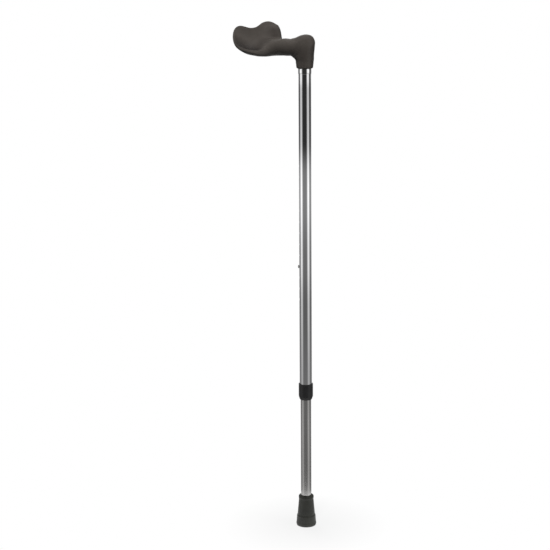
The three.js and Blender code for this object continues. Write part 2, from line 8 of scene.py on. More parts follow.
import bpy
import numpy as np
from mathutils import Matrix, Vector


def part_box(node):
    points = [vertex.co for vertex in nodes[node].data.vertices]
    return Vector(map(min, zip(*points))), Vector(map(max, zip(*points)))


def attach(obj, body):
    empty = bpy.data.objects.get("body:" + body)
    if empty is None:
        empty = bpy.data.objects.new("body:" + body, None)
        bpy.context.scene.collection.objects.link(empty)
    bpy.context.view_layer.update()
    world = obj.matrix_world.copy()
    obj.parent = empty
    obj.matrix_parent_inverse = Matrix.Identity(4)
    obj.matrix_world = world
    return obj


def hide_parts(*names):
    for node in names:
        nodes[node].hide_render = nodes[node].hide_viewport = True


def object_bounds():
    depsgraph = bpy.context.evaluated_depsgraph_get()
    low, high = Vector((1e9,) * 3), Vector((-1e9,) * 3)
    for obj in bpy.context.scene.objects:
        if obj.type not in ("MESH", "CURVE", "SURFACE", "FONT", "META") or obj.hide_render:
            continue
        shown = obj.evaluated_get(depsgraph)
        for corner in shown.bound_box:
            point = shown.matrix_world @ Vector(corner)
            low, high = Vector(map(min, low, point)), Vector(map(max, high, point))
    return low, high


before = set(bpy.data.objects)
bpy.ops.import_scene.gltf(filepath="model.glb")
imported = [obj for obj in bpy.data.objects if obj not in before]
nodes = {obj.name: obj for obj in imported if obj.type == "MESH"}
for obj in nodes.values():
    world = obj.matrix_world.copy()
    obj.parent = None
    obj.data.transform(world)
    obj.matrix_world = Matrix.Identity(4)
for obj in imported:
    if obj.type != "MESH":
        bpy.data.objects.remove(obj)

cad_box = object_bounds()
MM = 0.001


# ---------------------------------------------------------------- camera
# A long lens a little above the handle, tipped down, as a studio packshot of the whole stick.
camera_data = bpy.data.cameras.new("camera")
camera_data.sensor_width = 36
camera_data.lens = 103.9
camera_data.clip_end = 50
camera = bpy.data.objects.new("camera", camera_data)
camera.location = (-0.0492, -2.75, 1.11)
camera.rotation_euler = (math.radians(90 - 13.06), math.radians(0.445), 0)
bpy.context.scene.collection.objects.link(camera)
bpy.context.scene.camera = camera
bpy.context.scene.view_settings.view_transform = "Standard"


# ---------------------------------------------------------------- studio
# A pale floor in a white cove, lit by three soft lamps. Round the stick stands a screen that only
# mirror reflections see: tall bright strips with a dim room between them, which draw the long
# light and dark bands on the polished tubes.
def node_tree(owner):
    """The owner's emptied node tree and a function that adds one node with its settings."""
    owner.use_nodes = True
    tree = owner.node_tree
    tree.nodes.clear()

    def add(kind, inputs=None, **settings):
        node = tree.nodes.new("ShaderNode" + kind)
        for name, value in settings.items():
            setattr(node, name, value)
        for key, value in (inputs or {}).items():
            if isinstance(value, bpy.types.NodeSocket):
                tree.links.new(value, node.inputs[key])
            else:
                node.inputs[key].default_value = value
        return node

    return tree, add


def calc(add, operation, *values):
    """One Math node: its operation on the values, each a number or a socket."""
    return add("Math", {i: v for i, v in enumerate(values)}, operation=operation).outputs[0]


def ramp(add, value, low, high, stops):
    """A brightness that follows value from low to high through (place, brightness) stops."""
    share = add("MapRange", {"Value": value, "From Min": low, "From Max": high}).outputs["Result"]
    node = add("ValToRGB", {"Fac": share})
    node.color_ramp.interpolation = "EASE"
    elements = node.color_ramp.elements
    while len(elements) < len(stops):
        elements.new(0.5)
    for element, (place, brightness) in zip(elements, stops):
        element.position = (place - low) / (high - low)
        element.color = (brightness, brightness, brightness, 1)
    return node.outputs["Color"]


world = bpy.data.worlds.new("studio")
bpy.context.scene.world = world
tree, add = node_tree(world)
path = add("LightPath").outputs
shown = calc(add, "MAXIMUM", path["Is Camera Ray"], calc(add, "MAXIMUM", path["Is Glossy Ray"],
                                                        path["Is Transmission Ray"]))
ambient = add("Background", {"Color": (1, 1, 1, 1), "Strength": 0.08})
backdrop = add("Background", {"Color": (1, 1, 1, 1), "Strength": 1.0})
both = add("MixShader", {0: shown, 1: ambient.outputs[0], 2: backdrop.outputs[0]})
add("OutputWorld", {"Surface": both.outputs[0]})


def lamp(name, place, aim, size, watts):
    """A square area light at a place, turned to its aim, kept out of mirror reflections."""
    data = bpy.data.lights.new(name, "AREA")
    data.size = size
    data.energy = watts
    thing = bpy.data.objects.new(name, data)
    thing.location = place
    thing.rotation_euler = (Vector(aim) - Vector(place)).to_track_quat("-Z", "Y").to_euler()
    thing.visible_glossy = False
    bpy.context.scene.collection.objects.link(thing)
    return thing


top_z = cad_box[1][2]
lamp("key_light", (-0.2, -1.0, top_z + 1.6), (0, 0, top_z * 0.8), 0.35, 38)
lamp("fill_light", (1.7, -0.9, top_z * 0.8), (0, 0, top_z * 0.7), 0.9, 7)
lamp("rim_light", (-0.7, 1.6, top_z + 0.8), (0, 0, top_z * 0.7), 1.0, 12)

SCREEN_R = 0.3
SCREEN_FOOT, SCREEN_HEAD = -0.6, 2.2
STAGE_SIDES = 96


def circle(radius, height):
    """Points on a level circle about the Z axis."""
    angle = np.linspace(0, 2 * math.pi, STAGE_SIDES, endpoint=False)
    return np.stack([radius * np.cos(angle), radius * np.sin(angle), np.full_like(angle, height)], 1)


side = np.arange(STAGE_SIDES)
beside = (side + 1) % STAGE_SIDES
screen_points = np.vstack([circle(SCREEN_R, SCREEN_FOOT), circle(SCREEN_R, SCREEN_HEAD)])
screen_faces = np.stack([side, beside, STAGE_SIDES + beside, STAGE_SIDES + side], 1)
screen_mesh = bpy.data.meshes.new("studio_screen")
screen_mesh.from_pydata(screen_points.tolist(), [], screen_faces.tolist())
screen = bpy.data.objects.new("studio_screen", screen_mesh)
bpy.context.scene.collection.objects.link(screen)
screen.visible_camera = screen.visible_diffuse = screen.visible_shadow = False
screen.visible_transmission = False
screen_look = bpy.data.materials.new("studio_screen")
tree, add = node_tree(screen_look)
place = add("SeparateXYZ", {0: add("TexCoord").outputs["Object"]}).outputs
azimuth = calc(add, "ARCTAN2", place["X"], calc(add, "MULTIPLY", place["Y"], -1.0))
# Each strip: the azimuth of its middle from straight in front, half width and soft edge in
# degrees, and its share of full brightness.
STRIPS = ((-73, 20, 16, 1.0), (58, 20, 16, 1.0), (180, 24, 16, 1.0),
          (-128, 12, 10, 0.2), (128, 12, 10, 0.2))
strips = 0.0
for middle, half, soft, share in STRIPS:
    turned_away = calc(add, "SUBTRACT", azimuth, math.radians(middle))
    away = calc(add, "ABSOLUTE", calc(add, "WRAP", turned_away, math.pi, -math.pi))
    strip = add("MapRange", {"Value": away, "From Min": math.radians(half + soft), "To Max": share,
                             "From Max": math.radians(half - soft)}, interpolation_type="SMOOTHSTEP")
    strips = calc(add, "MAXIMUM", strips, strip.outputs["Result"])
# Brightness by height on the screen, between the strips and on them.
ROOM = ((0.0, 0.18), (0.08, 0.2), (0.18, 0.17), (0.34, 0.125), (0.44, 0.17), (0.55, 0.24),
        (0.6, 0.22), (0.67, 0.03), (0.86, 0.03))
LIGHTS = ((0.0, 0.52), (0.08, 0.6), (0.18, 0.47), (0.34, 0.66), (0.44, 1.0), (0.58, 1.3),
          (0.61, 1.2), (0.67, 0.76), (0.77, 0.72), (0.79, 1.15), (0.86, 1.15))
SCREEN_TOP_STOP = 0.9
room = ramp(add, place["Z"], 0, SCREEN_TOP_STOP, ROOM)
lights = ramp(add, place["Z"], 0, SCREEN_TOP_STOP, LIGHTS)
seen_look = add("Mix", {"Factor": strips, "A": room, "B": lights}, data_type="RGBA")
add("OutputMaterial", {"Surface": add("Emission", {"Color": seen_look.outputs["Result"]}).outputs[0]})
screen_mesh.materials.append(screen_look)

FLOOR_R = 0.17
FLOOR_DROP = 0.0004  # below the tip, so that the two faces don't share a level
floor_mesh = bpy.data.meshes.new("floor")
floor_mesh.from_pydata(circle(FLOOR_R, -FLOOR_DROP).tolist(), [], [side.tolist()])
floor = bpy.data.objects.new("floor", floor_mesh)
bpy.context.scene.collection.objects.link(floor)
floor_look = bpy.data.materials.new("pale_floor")
tree, add = node_tree(floor_look)
place = add("SeparateXYZ", {0: add("TexCoord").outputs["Object"]}).outputs
squares = calc(add, "POWER", place["X"], 2.0), calc(add, "POWER", place["Y"], 2.0)
spread = calc(add, "SQRT", calc(add, "ADD", *squares))
fade = add("MapRange", {"Value": spread, "From Min": 0.03, "From Max": FLOOR_R * 0.9}).outputs["Result"]
matt = add("BsdfDiffuse", {"Color": (0.8, 0.8, 0.8, 1)})
glow = add("Emission", {"Color": (1, 1, 1, 1), "Strength": 1.0})
GLOW_MIDDLE = 0.8  # the floor's own white under the tip; the rest of it takes the shadow
white = calc(add, "ADD", calc(add, "MULTIPLY", fade, 1 - GLOW_MIDDLE), GLOW_MIDDLE)
mixed = add("MixShader", {0: white, 1: matt.outputs[0], 2: glow.outputs[0]})
add("OutputMaterial", {"Surface": mixed.outputs[0]})
floor_mesh.materials.append(floor_look)


# ---------------------------------------------------------------- handle
# One moulding in warm black plastic: a socket and knob over the tube, a round neck for the
# fingers, and a palm rest with a deep hollow for the heel of the right hand and a far lobe
# for the thumb. Its skin is matt with a fine moulded grain, and painted shade darkens the
# palm hollow's colour.
def curve_through(table, at):
    """Rows of a table joined by cubic Hermite curves, with slopes from the neighbours.

    Between two rows the value is a blend of both rows and both slopes, cubic in the share t.
    """
    x, y = table[:, 0], table[:, 1:]
    step = np.diff(x)[:, None]
    slope = np.diff(y, axis=0) / step
    inner = (slope[:-1] * step[1:] + slope[1:] * step[:-1]) / (step[1:] + step[:-1])
    m = np.vstack([slope[:1], inner, slope[-1:]])
    i = np.clip(np.searchsorted(x, at) - 1, 0, len(x) - 2)
    h = (x[i + 1] - x[i])[:, None]
    t = (at - x[i])[:, None] / h
    rise = (1 + 2 * t) * (1 - t) ** 2 * y[i] + t * t * (3 - 2 * t) * y[i + 1]
    return rise + t * (1 - t) ** 2 * h * m[i] + t * t * (t - 1) * h * m[i + 1]


def closing(share):
    """Quarter ellipse: 0 at share 0, 1 from share 1 on."""
    return np.sqrt(1 - np.clip(1 - share, 0, 1) ** 2)


def skin(name, rings, ends="poles"):
    """A mesh over rings of points: ring i joins ring i + 1 by quads, and each ring closes.

    rings is (count, around, 3) in metres. ends is "poles", where the mean of the first and
    last ring closes each end, or "loop", where the last ring joins the first.
    """
    count, around = rings.shape[:2]
    points = rings.reshape(-1, 3)
    last = count if ends == "loop" else count - 1
    i = np.arange(last)[:, None] * around
    j = np.arange(around)[None, :]
    k = (j + 1) % around
    up = ((np.arange(last)[:, None] + 1) % count) * around
    faces = np.stack([i + j, i + k, up + k, up + j], -1).reshape(-1, 4).tolist()
    if ends == "poles":
        points = np.vstack([points, rings[0].mean(0), rings[-1].mean(0)])
        foot, tip = count * around, count * around + 1
        a = np.arange(around)
        b = (a + 1) % around
        faces += np.stack([b, a, np.full(around, foot)], 1).tolist()
        end = (count - 1) * around
        faces += np.stack([end + a, end + b, np.full(around, tip)], 1).tolist()
    mesh = bpy.data.meshes.new(name)
    mesh.from_pydata(points.tolist(), [], faces)
    mesh.update()
    return outwards(name, mesh)


def outwards(name, mesh):
    """An object with the mesh: if its volume comes out negative, every face is turned round."""
    points = np.zeros(len(mesh.vertices) * 3)
    mesh.vertices.foreach_get("co", points)
    points = points.reshape(-1, 3)
    mesh.calc_loop_triangles()
    corners = np.zeros(len(mesh.loop_triangles) * 3, int)
    mesh.loop_triangles.foreach_get("vertices", corners)
    a, b, c = points[corners.reshape(-1, 3)].transpose(1, 0, 2)
    if np.einsum("ij,ij->", a, np.cross(b, c)) < 0:
        mesh.flip_normals()
    mesh.shade_smooth()
    thing = bpy.data.objects.new(name, mesh)
    bpy.context.scene.collection.objects.link(thing)
    return thing


# Sections of the neck and rest, in millimetres and degrees: share of the rest's length from the
# corner, strip length near and far, half thickness near and far, bend near and far, tilt, y, z.
NECK_R = 14.2
REST_SECTIONS = np.array([
    [0.0, NECK_R, NECK_R, NECK_R + 0.3, NECK_R + 0.3, 0, 0, 0, 0, -0.3],
    [0.1, NECK_R - 0.2, NECK_R + 0.2, NECK_R + 0.6, NECK_R + 0.4, 0, 0, 0, 0, 0.3],
    [0.135, NECK_R - 0.2, 19.0, NECK_R + 0.8, 12.5, 0, 14, 7, -0.2, 0.6],
    [0.165, NECK_R - 0.2, 36.5, NECK_R + 1, 7.6, 0, 36, 22, -0.6, 0.7],
    [0.2, NECK_R - 0.1, 44.0, NECK_R + 1, 6.4, 0, 43, 28, -1.0, 0.7],
    [0.254, NECK_R + 0.1, 47.5, 14.9, 6.0, 0, 46, 31, -1.5, 0.5],
    [0.346, 15.0, 52.5, 13.8, 5.4, 8, 46, 33, -2.5, -0.2],
    [0.467, 22.0, 53.0, 10.2, 4.8, 32, 46, 32, -1, -1.2],
    [0.61, 33.5, 43.0, 6.0, 4.3, 52, 48, 32, 2, -2.0],
    [0.752, 37.0, 38.5, 4.8, 4.0, 57, 52, 34, 3, 1.0],
    [0.894, 36.5, 38.5, 4.4, 3.8, 62, 56, 40, 3, 9.4],
    [1.0, 34.0, 38.0, 4.0, 3.6, 60, 56, 46, 2, 18.6],
])
# The knob over the corner: angle from upright, and how far the inside, outside and sides swell.
KNOB_SECTIONS = np.array([
    [0, -0.6, 0, 0],
    [12, -1.4, 3.0, 0.1],
    [22, -1.8, 9.4, 0.9],
    [32, -1.9, 15.2, 2.0],
    [41, -1.8, 17.6, 2.4],
    [50, -1.6, 15.2, 2.5],
    [60, -1.2, 8.6, 2.0],
    [72, -0.7, 3.1, 1.2],
    [90, 0, 0, 0],
])
handle_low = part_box("handle_body")[0]
tube_low, tube_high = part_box("outer_tube")
plug_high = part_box("tube_plug")[1]
tube_r = tube_high.x / MM
MOUTH_Z = handle_low.z / MM
CORNER_X = 24
CORNER_Z = MOUTH_Z + 12
NECK_Z = MOUTH_Z + 36.4
SOCKET_WALL = 4.5
SOCKET_R = tube_r + SOCKET_WALL
SEAT_GAP = 0.3  # between pieces that rest on or in each other
TAIL_X = handle_low.x / MM
REST_LENGTH = -CORNER_X - TAIL_X
TAIL_ROUND, TAIL_EDGE = 27, 5  # lengths over which the outline and the thickness close
TAIL_CROWDING = 1.7  # rings stand closer together towards the tail
BLEND_LEAD, BLEND_SPAN = 0.35, 0.6  # the thick near side thins between these shares of the strip
PAD_RISE, PAD_MIDDLE, PAD_SPREAD, PAD_LENGTH = 5.5, 40, 10, 0.12
CREASE_DEPTH, CREASE_MIDDLE, CREASE_SPREAD, CREASE_LENGTH = 4.5, 19, 5.5, 0.11
THUMB_PLACE = 0.27  # share of the rest's length where pad and crease are full
PAD_EDGE = 12
RIM_FROM, RIM_SPAN, RIM_POWER = 0.3, 0.32, 0.45  # where and how far the rim turns blunt
AROUND, REST_RINGS, KNOB_RINGS = 160, 190, 70


def palm_rest(around, along):
    """Rings of the neck and palm rest, tail first.

    Each ring is a strip bent into two arcs: a point at arc length s from the middle lies at
    (sin ks / k, (1 - cos ks) / k), moved out along the arc's normal by the half thickness times
    the sine of its angle round the ring, to a power that makes the rim blunt. The half thickness
    blends from near to far, with a hump for the thumb and a crease under it, both bell curves.
    Strip and thickness close like ellipses at the tail.
    """
    angle = np.linspace(0, 2 * math.pi, around, endpoint=False)
    across, up = np.cos(angle), np.sin(angle)
    from_tail = (REST_LENGTH * np.linspace(0, 1, along + 1)[1:] ** TAIL_CROWDING)[:, None]
    place = 1 - from_tail / REST_LENGTH
    near, far, thick_near, thick_far, bend_near, bend_far, tilt, y, z = curve_through(
        REST_SECTIONS, place[:, 0]).T[:, :, None]
    outline = closing(from_tail / TAIL_ROUND)
    side = np.where(across >= 0, far, near) * outline
    strip = side * across
    lead = BLEND_LEAD * near * outline
    share = np.clip((strip + lead) / (BLEND_SPAN * far * outline + lead), 0, 1)
    share = share * share * (3 - 2 * share)
    aside = place - THUMB_PLACE
    pad = PAD_RISE * np.exp(-((strip - PAD_MIDDLE) / PAD_SPREAD) ** 2 - (aside / PAD_LENGTH) ** 2)
    crease = CREASE_DEPTH * np.exp(-((strip - CREASE_MIDDLE) / CREASE_SPREAD) ** 2
                                   - (aside / CREASE_LENGTH) ** 2)
    hump = (pad - crease) * closing((far - np.abs(strip)) / PAD_EDGE)
    blunt = np.clip((place - RIM_FROM) / RIM_SPAN, 0, 1)
    power = 1 - (1 - RIM_POWER) * blunt * blunt * (3 - 2 * blunt)
    edge = np.sign(up) * np.abs(up) ** power
    half = (thick_near + (thick_far - thick_near) * share) * closing(from_tail / TAIL_EDGE) * edge
    half = half + hump * np.sqrt(np.clip(up, 0, 1))
    bend = np.radians(np.where(across >= 0, bend_far, bend_near)) * outline
    k = np.maximum(bend / np.maximum(side, 1e-6), 1e-6)
    turn = k * np.abs(strip)
    out = (np.sin(turn) / k - half * np.sin(turn)) * np.sign(strip)
    rise = (1 - np.cos(turn)) / k + half * np.cos(turn)
    lean = np.radians(tilt)
    ring_y = y + out * np.cos(lean) - rise * np.sin(lean)
    ring_z = NECK_Z + z + out * np.sin(lean) + rise * np.cos(lean)
    return np.stack([np.broadcast_to(TAIL_X + from_tail, ring_y.shape), ring_y, ring_z], -1)


def knob(around, along):
    """Rings fanned through a right angle about the inside corner, from the neck to the socket.

    Each ring is an ellipse between an inner and an outer radius from the corner, which blend
    evenly from neck to socket and swell by the table.
    """
    angle = np.linspace(0, 2 * math.pi, around, endpoint=False)
    share = np.linspace(0, 1, along + 1)[1:, None]
    inside, outside, sides = curve_through(KNOB_SECTIONS, 90 * share[:, 0]).T[:, :, None]
    drop = NECK_Z - CORNER_Z
    inner = (1 - share) * (drop - NECK_R) + share * (CORNER_X - SOCKET_R) + inside
    outer = (1 - share) * (drop + NECK_R) + share * (CORNER_X + SOCKET_R) + outside
    half = (1 - share) * NECK_R + share * SOCKET_R + sides
    radius = (inner + outer) / 2 + (outer - inner) / 2 * np.sin(angle)
    turn = math.pi / 2 * share
    return np.stack([-CORNER_X + radius * np.sin(turn), half * np.cos(angle),
                     CORNER_Z + radius * np.cos(turn)], -1)


def socket(around, steps=8):
    """Rings down to the mouth, round its edge, and up the bore: radius and height by turns."""
    edge, taper = 2.2, 0.9
    foot = SOCKET_R - taper
    lean = np.linspace(0, math.pi / 2, steps)
    lip = [(foot - edge + edge * math.cos(a), MOUTH_Z + 1.4 * edge * (1 - math.sin(a))) for a in lean]
    bore = tube_r + SEAT_GAP
    roof = plug_high.z / MM + SEAT_GAP
    ease = 0.2
    outline = [(SOCKET_R, CORNER_Z - 1)] + lip + [(bore + SEAT_GAP, MOUTH_Z), (bore, MOUTH_Z + SEAT_GAP),
                                                (bore, roof - ease), (bore - ease, roof)]
    angle = np.linspace(0, 2 * math.pi, around, endpoint=False)
    radius, height = np.array(outline).T[:, :, None]
    return np.stack([radius * np.sin(angle), radius * np.cos(angle), height + 0 * angle], -1)


handle_parts = palm_rest(AROUND, REST_RINGS), knob(AROUND, KNOB_RINGS), socket(AROUND)
handle_rings = np.concatenate(handle_parts) * MM
handle = skin("handle_shell", handle_rings)


def peg(name, radius, start, end, steps=48):
    """A closed round peg from one point to another: circles about the line at both ends."""
    axis = Vector(end) - Vector(start)
    side = axis.orthogonal().normalized()
    other = axis.cross(side).normalized()
    angle = np.linspace(0, 2 * math.pi, steps, endpoint=False)[:, None]
    circle = radius * (np.cos(angle) * np.array(side) + np.sin(angle) * np.array(other))
    return skin(name, np.stack([circle + np.array(start), circle + np.array(end)]))


def cut(thing, pegs):
    """Cuts the pegs out of the thing's mesh, one after another, and removes them."""
    for tool in pegs:
        difference = thing.modifiers.new("cut", "BOOLEAN")
        difference.object = tool
        difference.solver = "EXACT"
        shown = thing.evaluated_get(bpy.context.evaluated_depsgraph_get())
        done = bpy.data.meshes.new_from_object(shown)
        thing.modifiers.clear()
        thing.data = done
        bpy.data.objects.remove(tool)
    thing.data.name = thing.name


screw_low, screw_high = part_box("handle_screw")
screw_z = (screw_low.z + screw_high.z) / 2
screw_head_r = (screw_high.x - screw_low.x) / 2
SCREW_HEAD, SHANK_HOLE_R = 2, 2
well_floor = screw_high.y - (SCREW_HEAD + SEAT_GAP) * MM
past_handle = 2 * SOCKET_R * MM
cut(handle, [
    peg("head_well", screw_head_r + SEAT_GAP * MM, (0, well_floor, screw_z), (0, past_handle, screw_z)),
    peg("shank_hole", SHANK_HOLE_R * MM, (0, 0, screw_z), (0, well_floor + MM, screw_z)),
])


def finish_edges(thing, degrees=38):
    """Smooth shading everywhere but across edges sharper than the angle."""
    thing.data.shade_smooth()
    thing.data.set_sharp_from_angle(angle=math.radians(degrees))


finish_edges(handle)


def plain_look(name, colour, rough, metal=0.0, specular=0.5):
    """A material with one Principled shader: its tree, node adder, shader and object coordinates."""
    look = bpy.data.materials.new(name)
    tree, add = node_tree(look)
    shader = add("BsdfPrincipled", {"Base Color": (*colour, 1), "Roughness": rough, "Metallic": metal,
                                    "Specular IOR Level": specular})
    add("OutputMaterial", {"Surface": shader.outputs[0]})
    where = add("TexCoord").outputs["Object"]
    return look, tree, add, shader, where


def noise(add, where, scale, detail=3.0, stretch=(1, 1, 1)):
    """Noise in object space, stretched by a factor on each axis."""
    spot = add("Mapping", {"Vector": where, "Scale": stretch}).outputs[0]
    inputs = {"Vector": spot, "Scale": scale, "Detail": detail, "Roughness": 0.55}
    return add("TexNoise", inputs).outputs[0]


def vary(tree, add, shader, socket_name, value, low, high):
    """Drives a shader's number by a texture value, between a low and a high setting."""
    spread = add("MapRange", {"Value": value, "From Min": 0.3, "From Max": 0.7,
                              "To Min": low, "To Max": high})
    tree.links.new(spread.outputs["Result"], shader.inputs[socket_name])


def tint(tree, add, shader, value, dark, light):
    """Drives the shader's colour from dark to light by a texture value."""
    share = add("MapRange", {"Value": value, "From Min": 0.35, "From Max": 0.65}).outputs["Result"]
    mixed = add("Mix", {"Factor": share, "A": (*dark, 1), "B": (*light, 1)}, data_type="RGBA")
    tree.links.new(mixed.outputs["Result"], shader.inputs["Base Color"])


def emboss(tree, add, shader, layers):
    """Chains bumps, each (height value, strength, depth in metres), into the shader's normal."""
    normal = None
    for height, strength, depth in layers:
        inputs = {"Height": height, "Strength": strength, "Distance": depth}
        if normal is not None:
            inputs["Normal"] = normal
        normal = add("Bump", inputs).outputs[0]
    tree.links.new(normal, shader.inputs["Normal"])


HANDLE_BLACK = (0.056, 0.049, 0.043)
handle_look, tree, add, shader, where = plain_look("handle_plastic", HANDLE_BLACK, 0.5, specular=0.25)
tint(tree, add, shader, noise(add, where, 38, 4), (0.062, 0.054, 0.048), (0.078, 0.069, 0.061))


def ease_in(add, value, start, end):
    """A share that goes from 0 where the value is start to 1 where it is end."""
    return add("MapRange", {"Value": value, "From Min": start, "From Max": end}).outputs["Result"]


# Painted shade: the palm hollow's colour is darkened on faces that look up and in over the
# near rim, where the hollow lies in shade.
facing = add("NewGeometry").outputs["Normal"]
over_rim = add("VectorMath", {0: facing, 1: (0.25, 0.72, 0.65)}, operation="DOT_PRODUCT").outputs["Value"]
palm_side = ease_in(add, add("SeparateXYZ", {0: where}).outputs["X"], -0.055, -0.075)
upwards = ease_in(add, add("SeparateXYZ", {0: facing}).outputs["Z"], 0.0, 0.4)
hollow_shade = calc(add, "MULTIPLY", palm_side, upwards)
hollow_shade = calc(add, "MULTIPLY", hollow_shade, ease_in(add, over_rim, -0.02, 0.45))
unshaded = shader.inputs["Base Color"].links[0].from_socket
hollow_shaded = add("Mix", {"Factor": calc(add, "MULTIPLY", hollow_shade, 0.85), "A": unshaded,
                   "B": (0.014, 0.011, 0.010, 1)}, data_type="RGBA").outputs["Result"]
tree.links.new(hollow_shaded, shader.inputs["Base Color"])
vary(tree, add, shader, "Roughness", noise(add, where, 60, 3), 0.42, 0.56)
grain = add("TexVoronoi", {"Vector": where, "Scale": 1700}).outputs["Distance"]
emboss(tree, add, shader, [(noise(add, where, 1100, 2), 0.35, 0.00006), (grain, 0.25, 0.00005)])
handle.data.materials.clear()
handle.data.materials.append(handle_look)
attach(handle, "upper")
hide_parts("handle_body")


# ---------------------------------------------------------------- handle screw and tube plug
# A pan-head steel screw from behind, through the socket and the tube, into a plastic plug that
# fills the tube's top. Only the head shows, at the foot of its well.
steel_look, tree, add, shader, where = plain_look("bright_steel", (0.62, 0.62, 0.61), 0.28, metal=1.0)
tint(tree, add, shader, noise(add, where, 300, 3), (0.52, 0.52, 0.51), (0.68, 0.68, 0.67))
vary(tree, add, shader, "Roughness", noise(add, where, 900, 3, (1, 1, 0.2)), 0.2, 0.36)
emboss(tree, add, shader, [(noise(add, where, 1500, 2), 0.15, 0.00003)])

PLAIN_BLACK = (0.025, 0.025, 0.026)
hidden_black_look, tree, add, shader, where = plain_look("plain_black_plastic", PLAIN_BLACK, 0.5)
tint(tree, add, shader, noise(add, where, 120, 3), (0.021, 0.021, 0.022), (0.03, 0.03, 0.031))
vary(tree, add, shader, "Roughness", noise(add, where, 200, 3), 0.42, 0.58)
emboss(tree, add, shader, [(noise(add, where, 1200, 2), 0.2, 0.00004)])


def dress(node, look):
    """Gives a CAD node its material."""
    nodes[node].data.materials.clear()
    nodes[node].data.materials.append(look)


dress("handle_screw", steel_look)
dress("tube_plug", hidden_black_look)


# ---------------------------------------------------------------- trim ring
# A thin polished ring pressed up under the handle. It is rolled slightly barrel-shaped, with
# small rounded edges, so it flashes brighter than the tube.
def rounded(corners, steps=5):
    """An outline whose corners are eased: (radius, height, ease) points in millimetres.

    Each corner C becomes the quadratic curve (1-t)^2 A + 2t(1-t) C + t^2 B, where A and B lie
    the ease away along its two sides. A guard point before and after keeps flat sides flat.
    """
    corners = np.array(corners, float)
    flat = corners[:, :2]
    points = []
    for i, (corner, ease) in enumerate(zip(flat, corners[:, 2])):
        before, after = flat[i - 1] - corner, flat[(i + 1) % len(flat)] - corner
        long_before, long_after = np.linalg.norm(before), np.linalg.norm(after)
        ease = min(ease, 0.45 * long_before, 0.45 * long_after)
        if ease == 0:
            points.append(corner[None])
            continue
        before, after = before / long_before, after / long_after
        a, b = corner + before * ease, corner + after * ease
        guard = 0.06 * ease
        t = np.linspace(0, 1, steps)[:, None]
        curve = (1 - t) ** 2 * a + 2 * t * (1 - t) * corner + t * t * b
        points += [(a + before * guard)[None], curve, (b + after * guard)[None]]
    return np.concatenate(points)


def turned(name, outline, around=128, ends="loop"):
    """A piece turned about the Z axis: every outline point (r, z) becomes a circle of radius r."""
    angle = np.linspace(0, 2 * math.pi, around, endpoint=False)
    radius, height = np.asarray(outline).T[:, :, None] * MM
    rings = np.stack([radius * np.cos(angle), radius * np.sin(angle), height + 0 * angle], -1)
    return skin(name, rings, ends)


ring_low, ring_high = (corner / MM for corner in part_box("trim_ring"))
RING_PLAY = 0.12
ring_in, ring_out = tube_r + RING_PLAY, ring_high.x
BULGE = 0.18
ring_edge = ring_out - BULGE - RING_PLAY
share = np.linspace(-0.92, 0.92, 15)
belly = np.stack([ring_out - BULGE * share ** 2,
                  ring_low.z + (ring_high.z - ring_low.z) * (share + 1) / 2], 1)
ring_outline = np.vstack([(ring_in, ring_low.z), (ring_edge, ring_low.z), belly,
                          (ring_edge, ring_high.z), (ring_in, ring_high.z)])
trim_ring = turned("polished_ring", ring_outline)
finish_edges(trim_ring)
ring_look, tree, add, shader, where = plain_look("polished_ring", (0.9, 0.9, 0.9), 0.1, metal=1.0)
vary(tree, add, shader, "Roughness", noise(add, where, 300, 3, (1, 1, 6)), 0.06, 0.15)
tint(tree, add, shader, noise(add, where, 90, 3), (0.87, 0.87, 0.87), (0.93, 0.93, 0.93))
emboss(tree, add, shader, [(noise(add, where, 160, 2, (1, 1, 30)), 0.06, 0.00002)])
trim_ring.data.materials.append(ring_look)
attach(trim_ring, "upper")
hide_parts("trim_ring")


# ---------------------------------------------------------------- upper tube
# Drawn aluminium, 22 mm across, brightly anodised, with die lines along its length. A row of
# punched holes for the button runs down the back, and one hole behind takes the handle's screw.
def tube(name, inside, outside, foot, top, around=128, pitch=8.0):
    """A straight tube with eased ends: its outline has a ring every pitch, for even faces."""
    rows = int((top - foot) / pitch)
    ease = 0.25
    wall = np.linspace(foot + ease, top - ease, rows)
    out = np.stack([np.full(rows, outside), wall], 1)
    back = np.stack([np.full(rows, inside), wall[::-1]], 1)
    rim = 0.55 * ease
    outline = np.vstack([(inside + rim, foot), (outside - rim, foot), out,
                         (outside - rim, top), (inside + rim, top), back])
    return turned(name, outline, around)


def true_walls(thing):
    """Gives every wall corner the tube's own normal, straight out from the axis or in to it.

    A face counts as wall where its normal lies within 12 degrees of the radius.
    """
    mesh = thing.data
    mesh.shade_smooth()
    count = len(mesh.loops)
    corner = np.zeros(count, int)
    mesh.loops.foreach_get("vertex_index", corner)
    points = np.zeros(len(mesh.vertices) * 3)
    mesh.vertices.foreach_get("co", points)
    points = points.reshape(-1, 3)[corner]
    face_normal = np.zeros(len(mesh.polygons) * 3)
    mesh.polygons.foreach_get("normal", face_normal)
    sizes = np.zeros(len(mesh.polygons), int)
    mesh.polygons.foreach_get("loop_total", sizes)
    face_normal = np.repeat(face_normal.reshape(-1, 3), sizes, 0)
    radial = points * (1, 1, 0)
    radial /= np.linalg.norm(radial, axis=1)[:, None]
    lean = np.einsum("ij,ij->i", radial, face_normal)
    wall = np.abs(lean) > math.cos(math.radians(12))
    normals = np.where(wall[:, None], radial * np.sign(lean)[:, None], face_normal)
    mesh.normals_split_custom_set(normals.tolist())


